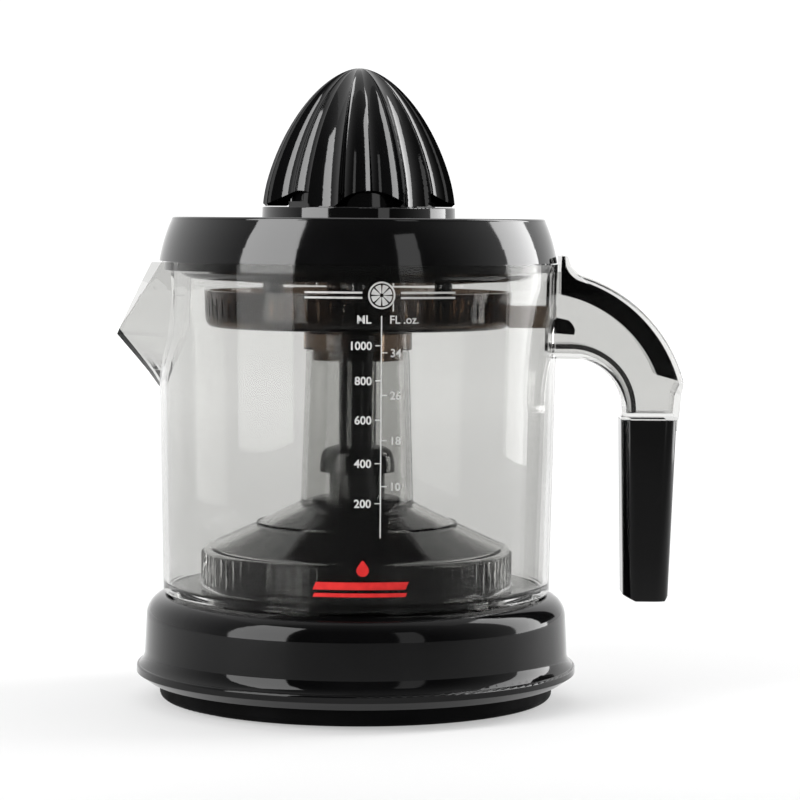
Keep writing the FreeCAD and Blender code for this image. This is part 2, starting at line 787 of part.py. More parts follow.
def jug_profile():
    wall = D.jug_wall
    low = D.jug_low
    draft_top = D.jug_radius_top
    return [
        (D.drum_radius + 0.8, low),
        (D.jug_radius_low - 1.2, low),
        (D.jug_radius_low, low + 1.2, 1.2),
        (draft_top, D.jug_top),
        (draft_top - wall, D.jug_top),
        (D.jug_radius_low - wall, low + 4.4),
        (D.jug_radius_low - wall - 2.2, low + wall, -2.2),
        (D.drum_radius + 1.8, low + wall),
        (D.drum_radius, low + wall + 1.8, -1.8),
        (D.drum_radius - 0.5, D.drum_top),
        (D.drum_radius - 2.6, D.drum_top + 2.6, 2.8),
        (38.0, 65.6),
        (37.4, 66.5),
        (36.4, 66.4),
        (D.column_radius_low + 0.9, D.column_low - 1.0),
        (D.column_radius_low, D.column_low + 0.6, -1.6),
        (D.column_radius_top, D.column_top),
        (D.column_radius_top - 1.8, D.column_top),
        (D.column_radius_low - 1.9, D.column_low - 0.6),
        (D.column_radius_low - 0.7, D.column_low - 3.2, -3.0),
        (D.drum_radius - 4.0, D.drum_top + 0.6),
        (D.drum_radius - 2.4, D.drum_top - 1.2, -1.8),
        (D.drum_radius - 1.9, low),
    ]


def jug_cavity():
    """The space inside the jug's wall, used to trim the spout and the handle."""
    wall = D.jug_wall
    cone = doc.addObject("Part::Cone", "jug_cavity")
    bind(cone, "Radius1", D.jug_radius_low - wall)
    bind(cone, "Radius2", D.jug_radius_top - wall)
    bind(cone, "Height", D.jug_top - D.jug_low)
    place(cone, 0.0, 0.0, D.jug_low)
    rim = cylinder("rim_space", D.jug_radius_top - wall, D.jug_top - 0.01, 10.0)
    return fused("jug_space", cone, rim)


def spout_horn(name, inset):
    """A beak that grows from a point on the wall: a loft through level triangles."""
    reach, height = D.spout_tip_reach, D.spout_tip_height
    root, inside = 66.0, 60.0
    levels = [
        (height - 20.4, reach - 16.5, 26.0),
        (height - 14.0, reach - 11.9, 27.5),
        (height - 8.0, reach - 6.9, 29.0),
        (height, reach, 31.5),
        (height + 14.0, reach + 10.2, 33.5),
        (height + 31.0, reach + 20.0, 33.5),
    ]
    sections = []
    for number, (level, tip, half_width) in enumerate(levels):
        section = doc.addObject("Sketcher::SketchObject", "%s_level_%d" % (name, number))
        shrink = 2.4 * inset
        side = half_width - 2.2 * inset
        outline(section, [(-(tip - shrink), 0.0), (-root, -side), (-inside, -side),
                          (-inside, side), (-root, side)])
        place(section, 0.0, 0.0, level + inset * 1.6)
        sections.append(section)
    horn = doc.addObject("Part::Loft", name)
    horn.Sections = sections
    horn.Solid = True
    horn.Ruled = True
    return horn


def spout_trim():
    """Everything above the slanted mouth of the spout and above the jug's rim."""
    reach, height = D.spout_tip_reach, D.spout_tip_height
    above = D.jug_top + 60.0
    return side_padded("spout_mouth", [
        (-reach, height),
        (-(D.jug_radius_top + 0.15), D.jug_top),
        (-50.0, D.jug_top),
        (-50.0, above),
        (-(reach + 60.0), above),
        (-(reach + 60.0), height - 33.0),
    ], 140.0)


def arm_curve_point(radius, degrees):
    x, z = polar(radius, degrees)
    return D.arm_outer_x + x, D.arm_outer_z + z


def inner_curve_point(radius, degrees):
    x, z = polar(radius, degrees)
    return D.arm_inner_x + x, D.arm_inner_z + z


def arm_outer():
    """The solid of the handle arm, between its outer and inner curves."""
    lip_x = 77.6
    top = arm_curve_point(D.arm_outer_round, 74.4)
    corner = arm_curve_point(D.arm_outer_round, 14.6)
    inner_low = inner_curve_point(D.arm_inner_round, -9.4)
    inner_top = inner_curve_point(D.arm_inner_round, 80.0)
    arm = side_padded("arm_solid", [
        (69.0, 128.5),
        inner_top,
        (inner_low[0], inner_low[1], -D.arm_inner_round),
        (inner_low[0], D.grip_top + D.gap),
        (119.0, D.grip_top + D.gap),
        (120.0, 115.0),
        corner,
        (top[0], top[1], D.arm_outer_round),
        (78.9, 162.6),
        (lip_x, 166.4),
        (74.9, 166.4),
        (74.9, 163.4),
        (69.0, 163.4),
    ], D.arm_width)
    return round_side_edges(arm, 3.0)


def arm_hollow():
    """The space inside the arm, which opens into the jug and at the rim."""
    wall = D.arm_wall
    top = arm_curve_point(D.arm_outer_round - wall, 73.6)
    corner = arm_curve_point(D.arm_outer_round - wall, 14.8)
    inner_low = inner_curve_point(D.arm_inner_round + wall, -1.5)
    inner_top = inner_curve_point(D.arm_inner_round + wall, 80.0)
    hollow = side_padded("arm_space", [
        (69.0, 130.5),
        inner_top,
        (inner_low[0], inner_low[1], -(D.arm_inner_round + wall)),
        (inner_low[0], D.grip_top + 2.6),
        (117.2, D.grip_top + 2.6),
        (117.8, 115.0),
        corner,
        (top[0], top[1], D.arm_outer_round - wall),
        (77.0, 163.0, -9.0),
        (76.6, 168.0),
        (75.6, 168.0),
        (75.2, 160.6),
        (69.0, 160.6),
    ], D.arm_width - wall * 2.0)
    return hollow


def grip_core():
    """The clear tongue below the arm that the grip slides over."""
    return side_padded("grip_core", [
        (102.6, 46.0),
        (113.4, 46.0),
        (115.0, D.grip_top + 1.0),
        (102.0, D.grip_top + 1.0),
    ], D.arm_width - 9.0)


def jug():
    vessel = turned("jug_vessel", jug_profile())
    ribs = at_angles(lambda a: cylinder("drum_rib", 0.7, 43.0, D.drum_top - 43.0,
                                        *polar(D.drum_radius - 0.45, a)), 0.0, 90)
    horn = cut("spout_outer", spout_horn("spout_horn", 0.0), spout_trim())
    additions = cut("jug_additions", fused("jug_extras", horn, arm_outer()), jug_cavity())
    whole = fused("jug_whole", vessel, additions, grip_core(), *ribs)
    return cut("jug", whole, spout_horn("spout_bore", 1.0), arm_hollow())


def handle_spine():
    """The black strip that lies inside the top of the arm and hooks up to the rim."""
    outer = D.arm_outer_round - D.arm_wall - 0.15
    inner = outer - 6.6
    start, end = 73.0, 16.5
    low_outer, low_inner = arm_curve_point(outer, end), arm_curve_point(inner, end + 5.0)
    top_outer, top_inner = arm_curve_point(outer, start), arm_curve_point(inner, start + 4.5)
    strip = side_padded("spine_strip", [
        (75.4, top_inner[1] + 0.4),
        top_inner,
        (low_inner[0], low_inner[1], -inner),
        (low_inner[0] + 3.0, low_inner[1] - 0.8),
        low_outer,
        (top_outer[0], top_outer[1], outer),
        (76.8, 163.0, -9.0),
        (76.4, 166.3),
        (75.7, 166.3),
        (75.4, 160.8),
    ], D.arm_width - 5.6)
    return strip


def handle_liner():
    """The thin dark strip that follows the arm's inner curve."""
    near = D.arm_inner_round + 3.4
    far = near + 1.8
    high, low = 88.0, -2.0
    a, b = inner_curve_point(near, high), inner_curve_point(near, low)
    c, d = inner_curve_point(far, low), inner_curve_point(far, high)
    return side_padded("handle_liner", [
        (73.6, a[1]),
        a,
        (b[0], b[1], -near),
        c,
        (d[0], d[1], far),
        (73.6, d[1]),
    ], D.arm_width - 5.6)


def handle_grip():
    """A closed sleeve that slides up over the jug's tongue."""
    grip = side_padded("grip_solid", [
        (104.2, D.grip_low),
        (115.2, D.grip_low),
        (116.5, D.grip_low + 2.0),
        (119.0, D.grip_top),
        (98.2, D.grip_top),
        (99.6, D.grip_low + 2.2),
    ], D.arm_width)
    round_side_edges(grip, 5.0)
    space = side_padded("grip_space", [
        (102.3, 45.6),
        (113.6, 45.6),
        (115.3, D.grip_top + 1.0),
        (101.7, D.grip_top + 1.0),
    ], D.arm_width - 8.6)
    return cut("handle_grip", grip, space)


def handle_clip():
    """A small clear catch that bridges the arm and the grip at the back."""
    return side_padded("handle_clip", [
        (119.35, 101.5),
        (120.1, 106.4),
        (120.9, 114.6),
        (120.3, 114.8),
        (119.3, 106.2),
        (119.15, 101.5),
    ], 10.0)


def strainer_stop():
    """A bar across the handle's mouth, with a tongue, that keeps the strainer from turning."""
    near, low, high = 71.7, 137.7, 143.5
    span = D.arm_width - D.arm_wall * 2.0
    bar = block("stop_bar", (near, span * -0.5, low), (2.2, span, high - low))
    tongue = side_padded("stop_tongue", [
        (near, low),
        (80.6, low - 0.7),
        (81.0, low + 0.9),
        (78.6, high - 1.1, 6.0),
        (73.6, high),
        (near, high),
    ], 7.8)
    return fused("strainer_stop", bar, tongue)


# ---------------------------------------------------------------- collector and strainer


def collector():
    floor = D.bowl_floor
    profile = [
        (D.jug_radius_top - 2.8, floor + 2.4),
        (D.jug_radius_top - 2.8, D.ring_low),
        (D.ring_radius_low, D.ring_low),
        (D.ring_radius_low - 1.1, D.ring_low + 5.4, 60.0),
        (D.ring_radius_top, D.ring_top - 1.0, 60.0),
        (D.ring_radius_top - 1.0, D.ring_top, 1.0),
        (D.ring_radius_top - 1.6, D.ring_top),
        (D.ring_radius_top - 2.4, D.ring_top - 0.8, 0.8),
        (66.0, floor + 8.0),
        (60.0, floor + 1.4, -7.0),
        (D.bowl_hole + 1.2, floor - 0.2),
        (D.bowl_hole + 1.2, floor + 1.0),
        (D.bowl_hole, floor + 1.0),
        (D.bowl_hole, floor - 2.6),
        (60.5, floor - 1.0),
        (66.5, floor + 1.2, 9.0),
    ]
    bowl = turned("collector_bowl", profile)
    posts = at_angles(lambda a: cylinder("collector_post", 3.0, D.basket_low + 2.2,
                                         floor - D.basket_low - 3.4,
                                         *polar(D.bowl_hole + 3.2, a)), 30.0, 6)
    drains = at_angles(lambda a: radial_block("drain", 41.0, 55.0, 1.8, floor - 6.0, 12.0, a),
                       0.0, 36)
    return cut("collector", fused("collector_solid", bowl, *posts), compound("drains", drains))


def strainer():
    low, wall = D.basket_low, 1.8
    rim = D.basket_radius
    hub = D.chimney_radius
    profile = [
        (D.chimney_bore, 127.0),
        (D.column_radius_top - 2.3, 127.0),
        (D.column_radius_top - 2.3, 131.0),
        (20.3, 131.0),
        (20.3, 137.0),
        (hub + 4.0, low),
        (rim - 3.6, low),
        (rim - 0.4, low + 3.2, 3.3),
        (rim, D.basket_top),
        (rim - wall, D.basket_top),
        (rim - wall - 0.4, low + 3.6),
        (rim - wall - 2.2, low + wall, -1.8),
        (hub + 1.6, low + wall),
        (hub, low + wall + 1.6, -1.6),
        (hub, D.chimney_top - 0.6),
        (hub - 0.6, D.chimney_top, 0.6),
        (D.chimney_bore, D.chimney_top),
    ]
    basket = turned("basket_turned", profile)
    key = block("strainer_key", (rim - 1.5, -8.0, low + 0.4), (15.2, 16.0, 8.2))
    slots = at_angles(lambda a: radial_block("wall_slot", rim - 4.0, rim + 2.0, 1.0, low + 4.2,
                                             6.6, a), 18.0, 80)
    slots = [s for i, s in enumerate(slots) if i not in (73, 74, 75, 76, 77, 78)]
    floor_slots = at_angles(lambda a: radial_block("floor_slot", 24.0, 50.0, 1.0, low - 1.0, 4.0,
                                                   a), 3.75, 48)
    return cut("strainer", fused("basket_solid", basket, key),
               compound("basket_slots", slots + floor_slots))


# ---------------------------------------------------------------- cones


def dome_radius(base, share):
    """The reamer's outline: its radius at a share of its height, from 0 at the foot."""
    return base * (1.0 - share ** 1.5) ** 0.57


RIB_STEP = 360.0 / CONE_RIBS
RIB_HALF_ANGLE = 9.5                # from a rib's middle to its sharp edges
FIN_RATIO, FLUTE_RATIO = 0.82, 0.79
GROOVE_ROUND, FLUTE_ROUND = 0.30, 0.2204


def fluted_section(name, radius, level):
    """A level cut through the reamer: ribs with two sharp edges and a groove between them,
    and flutes with a low fin in the middle."""
    corners = []
    for rib in range(CONE_RIBS):
        middle = FIRST_RIB_ANGLE + RIB_STEP * rib
        fin = polar(radius * FIN_RATIO, middle - RIB_STEP / 2.0)
        edges = [polar(radius, middle + side * RIB_HALF_ANGLE) for side in (-1.0, 1.0)]
        corners.append((fin[0], fin[1], -(radius * FLUTE_ROUND)))
        corners.append((edges[0][0], edges[0][1], -(radius * FLUTE_ROUND)))
        corners.append((edges[1][0], edges[1][1], -(radius * GROOVE_ROUND)))
    section = doc.addObject("Sketcher::SketchObject", name)
    outline(section, corners)
    place(section, 0.0, 0.0, level)
    return section


def dome_profile(base, low, high, steps=7):
    """Corners up a dome's outline from its foot to a small flat top."""
    shares = [i / steps for i in range(steps)] + [0.93, 0.975]
    return [(dome_radius(base, share), low + (high - low) * share) for share in shares]


def reamer_cone_large():
    height = D.cone_tip - D.cone_low
    shares = (0.0, 0.14, 0.29, 0.43, 0.56, 0.68, 0.79, 0.88, 0.945, 0.98, 0.998)
    sections = [fluted_section("cone_level_%d" % number, dome_radius(D.cone_radius, share),
                               D.cone_low + height * share)
                for number, share in enumerate(shares)]
    skin = doc.addObject("Part::Loft", "cone_skin")
    skin.Sections = sections
    skin.Solid = True
    inside = dome_profile(D.cone_radius * FLUTE_RATIO - 2.0, D.cone_low, D.cone_tip - 6.5)
    cavity = turned("cone_cavity", [(0.0, D.cone_low - 1.0), (inside[0][0], D.cone_low - 1.0)]
                    + inside + [(0.0, inside[-1][1])])
    arch_round, arch_rise = 19.0, 5.7
    arches = at_angles(lambda a: lying_cylinder("cone_arch", arch_round, 30.0, *polar(15.0, a),
                                                D.cone_low + arch_rise - arch_round, a),
                       FIRST_RIB_ANGLE + RIB_STEP / 2.0, CONE_RIBS)
    return cut("reamer_cone_large", skin, cavity, *arches)


def reamer_cone_small():
    ring_top = D.cone_low - D.gap
    outer = D.cone_radius * FLUTE_RATIO - 2.6
    skin = dome_profile(outer, ring_top, D.cone_tip - 9.5)
    hollow = dome_profile(outer - 2.2, ring_top, D.cone_tip - 12.4)
    sleeve_bore, sleeve = D.chimney_radius + 1.98, D.chimney_radius + 3.8
    profile = ([(D.small_ring_radius, 164.0), (D.small_ring_radius - 0.6, ring_top - 0.4),
                (D.small_ring_radius - 1.0, ring_top, 0.4)] + skin
               + [(0.0, skin[-1][1]), (0.0, hollow[-1][1])] + hollow[:0:-1]
               + [(outer - 2.6, ring_top - 2.0), (D.small_ring_radius - 2.6, ring_top - 2.2),
                  (D.small_ring_radius - 2.0, 164.0)])
    shell = turned("small_cone_shell", profile)
    web_top = D.chimney_top + 9.0
    sleeve_part = cut("cone_sleeve", cylinder("sleeve_outer", sleeve, 164.6, web_top - 162.6),
                      cylinder("sleeve_space", sleeve_bore, 160.0, D.chimney_top - 157.6))
    socket = cylinder("cone_socket", 8.4, web_top, D.shaft_top + 3.0 - web_top)
    webs = at_angles(lambda a: radial_block("cone_web", 7.5, 22.0, 1.6, web_top - 2.0, 22.0, a),
                     0.0, 3)
    envelope = turned("cone_envelope", [(0.0, ring_top - 3.0), (outer - 1.4, ring_top - 3.0)]
                      + [(r - 1.0, z) for r, z in skin] + [(0.0, skin[-1][1])])
    inner_webs = doc.addObject("Part::MultiCommon", "cone_webs")
    inner_webs.Shapes = [fused("web_blocks", *webs, socket), envelope]
    ribs = at_angles(lambda a: radial_block("small_rib", 8.0, outer + 0.3, 1.4, ring_top,
                                            D.cone_tip - 14.0 - ring_top, a), 0.0, 8)
    rib_envelope = turned("rib_envelope", [(0.0, ring_top - 0.5), (outer + 0.2, ring_top - 0.5)]
                          + dome_profile(outer + 0.2, ring_top, D.cone_tip - 9.2)
                          + [(0.0, D.cone_tip - 9.9)])
    outer_ribs = doc.addObject("Part::MultiCommon", "small_cone_ribs")
    outer_ribs.Shapes = [fused("rib_blocks", *ribs), rib_envelope]
    lugs = at_angles(lambda a: radial_block("drive_lug", outer - 0.4, outer + 2.4, 12.0,
                                            ring_top - 0.2, 2.2, a),
                     FIRST_RIB_ANGLE + RIB_STEP * 1.5, CONE_RIBS // 2)
    deep_ribs = cut("rib_trim", outer_ribs, turned("rib_core", [
        (0.0, ring_top - 0.6), (outer - 1.2, ring_top - 0.6)]
        + dome_profile(outer - 1.2, ring_top, D.cone_tip - 10.6)
        + [(0.0, D.cone_tip - 11.6)]))
    bore = hexagon("cone_bore", D.head_flats + 0.3, D.chimney_top - 2.0,
                   D.shaft_top + D.gap + 2.0 - D.chimney_top)
    return cut("reamer_cone_small", fused("small_cone_solid", shell, sleeve_part, inner_webs,
                                          deep_ribs, *lugs), bore)


def guide_bush():
    inner, outer = D.chimney_radius + 0.06, D.chimney_radius + 1.92
    low = 163.2
    profile = [
        (inner, low),
        (D.chimney_radius + 3.4, low),
        (D.chimney_radius + 3.4, low + 1.2),
        (outer, low + 1.2),
        (outer, D.chimney_top - 1.0),
        (inner, D.chimney_top - 1.0),
    ]
    return turned("guide_bush", profile)


# ---------------------------------------------------------------- assembly


def build():
    node("base_housing", base_housing())
    node("bottom_plate", bottom_plate())
    node("rubber_feet", rubber_feet())
    node("bottom_screws", bottom_screws())
    node("cord_gland", cord_gland())
    node("terminal_block", terminal_block())
    node("gearbox_plate", gearbox_plate())
    node("plate_screws", plate_screws())
    node("gear_axle", gear_axle())
    node("axle_clip", axle_clip())
    node("stator_core", stator_core())
    bobbin, winding = coil_parts()
    node("coil_bobbin", bobbin)
    node("coil_winding", winding)
    node("motor_bracket_lower", bracket("motor_bracket_lower", D.motor_low))
    node("motor_bracket_upper",
         bracket("motor_bracket_upper", D.core_low + D.core_height + 3.5))
    node("motor_bushes", motor_bushes())
    node("motor_spacers", motor_spacers())
    node("motor_screws", motor_screws())
    node("switch_bracket", switch_bracket())
    node("microswitch", microswitch())
    node("guide_tube", guide_tube())
    node("upper_bush", tube("upper_bush", 8.6, D.shaft_radius + 0.05, 77.0, 6.0))
    node("lower_bush", tube("lower_bush", 8.6, D.shaft_radius + 0.05, 66.4, 5.0))
    node("shaft_seal", tube("shaft_seal", 8.6, D.shaft_radius + 0.03, 73.2, 2.4))
    node("thrust_washer", tube("thrust_washer", 8.0, 4.3, D.plate_top, 0.5))
    node("output_gear", output_gear())
    node("spring_washer", tube("spring_washer", 7.4, 5.6, 57.6, 0.7))
    node("return_spring", return_spring())
    node("compound_gear", compound_gear())
    shaft, rotor = rotor_parts()
    node("motor_shaft", shaft)
    node("motor_rotor", rotor)
    node("motor_pinion", motor_pinion())
    node("drive_shaft", drive_shaft())
    node("splash_flinger", splash_flinger())
    node("switch_button", switch_button())
    node("jug", jug())
    node("handle_spine", handle_spine())
    node("handle_liner", handle_liner())
    node("handle_grip", handle_grip())
    node("handle_clip", handle_clip())
    node("strainer_stop", strainer_stop())
    node("collector", collector())
    node("strainer", strainer())
    node("guide_bush", guide_bush())
    node("reamer_cone_small", reamer_cone_small())
    node("reamer_cone_large", reamer_cone_large())


def check_document():
    """Stop if any feature failed or any piece is not one or more valid solids."""
    doc.recompute()
    failed = [o.Name for o in doc.Objects if set(o.State) & {"Invalid", "Error"}]
    if failed:
        raise RuntimeError("failed features: %s" % ", ".join(failed))
    for name, thing in NODES.items():
        shape = thing.Shape
        if shape.isNull() or not shape.isValid() or not shape.Solids:
            raise RuntimeError("%s is not a valid solid" % name)


def write_pieces():
    os.makedirs("parts", exist_ok=True)
    for name, thing in NODES.items():
        thing.Shape.exportStep("parts/%s.step" % name)
        solids = thing.Shape.Solids
        print("%-22s %2d solid(s) %10.1f mm3" % (name, len(solids), thing.Shape.Volume))


build()
check_document()
write_pieces()
print("%d pieces" % len(NODES))
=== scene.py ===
import json
import math

import bmesh
import bpy
from mathutils import Euler, Matrix, Vector


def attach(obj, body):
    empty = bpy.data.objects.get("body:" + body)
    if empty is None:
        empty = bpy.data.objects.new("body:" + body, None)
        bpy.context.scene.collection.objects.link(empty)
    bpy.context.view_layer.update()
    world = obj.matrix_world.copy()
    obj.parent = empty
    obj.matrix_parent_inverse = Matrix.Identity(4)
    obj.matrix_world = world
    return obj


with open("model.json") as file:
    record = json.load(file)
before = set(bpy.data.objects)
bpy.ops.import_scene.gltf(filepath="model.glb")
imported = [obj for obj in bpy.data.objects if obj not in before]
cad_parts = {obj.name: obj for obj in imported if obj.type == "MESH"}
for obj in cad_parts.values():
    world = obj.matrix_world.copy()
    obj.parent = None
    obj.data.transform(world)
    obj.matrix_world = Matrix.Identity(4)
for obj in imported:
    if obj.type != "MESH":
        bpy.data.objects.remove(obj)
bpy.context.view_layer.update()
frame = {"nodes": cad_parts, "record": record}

# Looks for the citrus press. Metres, +Z up, the handle towards +X, the front towards -Y.

# The jug's outer wall, a slightly tapered cylinder about the drive shaft's axis.
WALL_LOW, WALL_HIGH = 0.0414, 0.1634
WALL_RADIUS_LOW, WALL_RADIUS_HIGH = 0.0724, 0.0749
INK_LIFT = 0.00008                  # how far the print stands off the wall

# The print on it: across from the jug's middle, and up from the table.
SCALE_ACROSS = 0.0093               # the scale's upright line
SCALE_LOW, SCALE_HIGH = 0.0678, 0.1459
MILLILITRES = {"1000": 0.1355, "800": 0.1232, "600": 0.1094, "400": 0.0941, "200": 0.0800}
OUNCES = {"34": 0.1330, "26": 0.1181, "18": 0.1022, "10": 0.0860}
TICK = 0.0021
LINE_HALF = 0.00022                 # half the width of the upright line
LETTER_HEIGHT = 0.0029
CAP_SHARE = 0.72                    # the built-in font's capitals, as a share of its size
BOLD, FINE = 0.00009, 0.00004       # how much the two columns' lettering is thickened

# The studio.
FLOOR_NEAR, FLOOR_FAR = -1.0, 2.0   # the stretch of y over which the floor's painted glow grows, from none in front to bright behind
FLOOR_GLOW = ((0.18, 0.0), (0.31, 0.42), (1.0, 0.92))   # share of that stretch, strength of the painted glow
CAMERA_PLACE = (0.0159, -1.1, 0.1804)
CAMERA_DIP, CAMERA_ROLL = 3.56, 0.42    # degrees below level, and about the view
LENS, SENSOR = 132.3, 36.0              # millimetres


# ---------------------------------------------------------------- materials


class Recipe:
    """One Principled material and the short cuts used to build its procedural detail."""

    def __init__(self, name):
        self.material = bpy.data.materials.new(name)
        self.material.use_nodes = True
        self.nodes = self.material.node_tree.nodes
        self.links = self.material.node_tree.links
        self.shader = self.nodes["Principled BSDF"]
        self.place = self.nodes.new("ShaderNodeTexCoord").outputs["Object"]

    def set(self, **values):
        for name, value in values.items():
            self.shader.inputs[name.replace("_", " ")].default_value = value
        return self

    def stretched(self, scale):
        mapping = self.nodes.new("ShaderNodeMapping")
        mapping.inputs["Scale"].default_value = scale
        self.links.new(self.place, mapping.inputs["Vector"])
        return mapping.outputs["Vector"]

    def noise(self, scale, detail=3.0, stretch=None):
        node = self.nodes.new("ShaderNodeTexNoise")
        node.inputs["Scale"].default_value = scale
        node.inputs["Detail"].default_value = detail
        where = self.stretched(stretch) if stretch else self.place
        self.links.new(where, node.inputs["Vector"])
        return node.outputs["Fac"]

    def bands(self, scale, direction):
        node = self.nodes.new("ShaderNodeTexWave")
        node.wave_type = "BANDS"
        node.bands_direction = direction
        node.inputs["Scale"].default_value = scale
        self.links.new(self.place, node.inputs["Vector"])
        return node.outputs["Fac"]

    def roughness(self, field, low, high):
        node = self.nodes.new("ShaderNodeMapRange")
        node.inputs["From Min"].default_value = 0.3
        node.inputs["From Max"].default_value = 0.7
        node.inputs["To Min"].default_value = low
        node.inputs["To Max"].default_value = high
        self.links.new(field, node.inputs["Value"])
        self.links.new(node.outputs["Result"], self.shader.inputs["Roughness"])

    def colour(self, field, first, second):
        ramp = self.nodes.new("ShaderNodeValToRGB")
        ramp.color_ramp.elements[0].position = 0.35
        ramp.color_ramp.elements[1].position = 0.65
        ramp.color_ramp.elements[0].color = (*first, 1.0)
        ramp.color_ramp.elements[1].color = (*second, 1.0)
        self.links.new(field, ramp.inputs["Fac"])
        self.links.new(ramp.outputs["Color"], self.shader.inputs["Base Color"])

    def bump(self, field, strength, depth):
        node = self.nodes.new("ShaderNodeBump")
        node.inputs["Strength"].default_value = strength
        node.inputs["Distance"].default_value = depth
        self.links.new(field, node.inputs["Height"])
        self.links.new(node.outputs["Normal"], self.shader.inputs["Normal"])


def gloss_black(name, shine=0.5):
    """Polished moulded plastic: a faint flow ripple, hazy smudges and a very dark body."""
    recipe = Recipe(name).set(IOR=1.5, Specular_IOR_Level=shine)
    recipe.colour(recipe.noise(22.0, 5.0), (0.0012, 0.0012, 0.0013), (0.003, 0.003, 0.0032))
    recipe.roughness(recipe.noise(34.0, 4.0), 0.035, 0.095)
    recipe.bump(recipe.noise(85.0, 1.0), 0.05, 0.0002)
    return recipe.material


def matte_plastic(name, first, second, shine=0.5):
    """Finely grained moulded plastic, mottled between two colours."""
    recipe = Recipe(name).set(Specular_IOR_Level=shine)
    recipe.colour(recipe.noise(40.0, 4.0), first, second)
    recipe.roughness(recipe.noise(90.0), 0.42, 0.62)
    recipe.bump(recipe.noise(1400.0, 2.0), 0.5, 0.00006)
    return recipe.material


def clear_plastic(name, tint, ior=1.42, low=0.008, high=0.03):
    """See-through moulding, lightly smoked, with the slow waviness of its walls."""
    recipe = Recipe(name).set(Base_Color=(*tint, 1.0), Transmission_Weight=1.0, IOR=ior)
    recipe.roughness(recipe.noise(26.0, 4.0), low, high)
    recipe.bump(recipe.noise(18.0, 1.0), 0.02, 0.0006)
    return recipe.material


def brushed_metal(name, first, second, stretch, low=0.24, high=0.42):
    """Metal with a fine grain, drawn out across the axis that is stretched most."""
    recipe = Recipe(name).set(Metallic=1.0)
    recipe.colour(recipe.noise(30.0, 4.0), first, second)
    field = recipe.noise(220.0, 4.0, stretch)
    recipe.roughness(field, low, high)
    recipe.bump(field, 0.25, 0.00003)
    return recipe.material


def rubber(name):
    """Dull black rubber with a powdery grain."""
    recipe = Recipe(name).set(Specular_IOR_Level=0.3)
    recipe.colour(recipe.noise(70.0, 4.0), (0.012, 0.012, 0.012), (0.024, 0.024, 0.023))
    recipe.roughness(recipe.noise(120.0), 0.6, 0.8)
    recipe.bump(recipe.noise(1800.0, 2.0), 0.5, 0.00005)
    return recipe.material


def laminations(name):
    """Varnished sheet steel, stacked: fine level lines."""
    recipe = Recipe(name).set(Metallic=0.6)
    lines = recipe.bands(520.0, "Z")
    recipe.colour(lines, (0.05, 0.05, 0.055), (0.17, 0.17, 0.18))
    recipe.roughness(recipe.noise(60.0), 0.35, 0.55)
    recipe.bump(lines, 0.6, 0.00008)
    return recipe.material


def winding(name):
    """Enamelled wire laid side by side."""
    recipe = Recipe(name).set(Metallic=0.9)
    turns = recipe.bands(700.0, "X")
    recipe.colour(turns, (0.2, 0.05, 0.015), (0.62, 0.22, 0.07))
    recipe.roughness(recipe.noise(50.0), 0.2, 0.34)
    recipe.bump(turns, 0.9, 0.0002)
    return recipe.material


def ink(name, first, second):
    """Screen-printed ink: slightly uneven cover, satin."""
    recipe = Recipe(name).set(Specular_IOR_Level=0.3)
    recipe.colour(recipe.noise(420.0, 3.0), first, second)
    recipe.roughness(recipe.noise(300.0), 0.4, 0.55)
    recipe.bump(recipe.noise(1600.0), 0.2, 0.00002)
    return recipe.material


MATERIALS = {
    "reamer_black": gloss_black("reamer_black_gloss"),
    "collector_black": gloss_black("collector_black_gloss"),
    "base_black": gloss_black("base_black_gloss", shine=0.2),
    "handle_black": gloss_black("handle_black_gloss", shine=0.22),
    "shaft_black": gloss_black("shaft_black_gloss"),
    "base_matte": matte_plastic("base_black_textured", (0.002, 0.002, 0.002),
                                (0.004, 0.004, 0.0043), shine=0.02),
    "strainer_smoke": clear_plastic("strainer_smoke_clear", (0.10, 0.073, 0.054), ior=1.35,
                                    low=0.03, high=0.07),
    "handle_smoke": clear_plastic("handle_smoke_clear", (0.04, 0.04, 0.04)),
    "jug_clear": clear_plastic("jug_smoke_clear", (0.70, 0.70, 0.69), ior=1.18),
    "bush_acetal": matte_plastic("bush_acetal_white", (0.66, 0.65, 0.6), (0.75, 0.74, 0.7)),
    "gear_acetal": matte_plastic("gear_acetal_white", (0.68, 0.67, 0.6), (0.78, 0.77, 0.72)),
    "terminal_white": matte_plastic("nylon_natural", (0.66, 0.64, 0.55), (0.76, 0.74, 0.68)),
    "switch_black": matte_plastic("phenolic_black", (0.014, 0.013, 0.012), (0.03, 0.028, 0.026)),
    "button_red": matte_plastic("nylon_red", (0.36, 0.02, 0.012), (0.5, 0.035, 0.02)),
    "seal_rubber": rubber("rubber_black"),
    "steel": brushed_metal("zinc_plated_steel", (0.5, 0.5, 0.49), (0.64, 0.64, 0.63),
                           (1.0, 1.0, 8.0)),
    "plate_steel": brushed_metal("zinc_plated_sheet", (0.46, 0.47, 0.5), (0.6, 0.61, 0.64),
                                 (8.0, 1.0, 1.0)),
    "bush_bronze": brushed_metal("sintered_bronze", (0.42, 0.25, 0.1), (0.58, 0.38, 0.18),
                                 (1.0, 1.0, 1.0), low=0.35, high=0.5),
    "laminations": laminations("motor_laminations"),
    "copper": winding("motor_winding_copper"),
}


def dress_frame():
    """Every carried-over piece takes the material of its slot in the record."""
    for part in frame["record"]["subparts"]:
        piece = frame["nodes"][part["node"]]
        piece.data.materials.clear()
        piece.data.materials.append(MATERIALS[part["material_slot"]])


# ---------------------------------------------------------------- print on the jug


def wall_radius(z):
    share = (z - WALL_LOW) / (WALL_HIGH - WALL_LOW)
    return WALL_RADIUS_LOW + (WALL_RADIUS_HIGH - WALL_RADIUS_LOW) * share


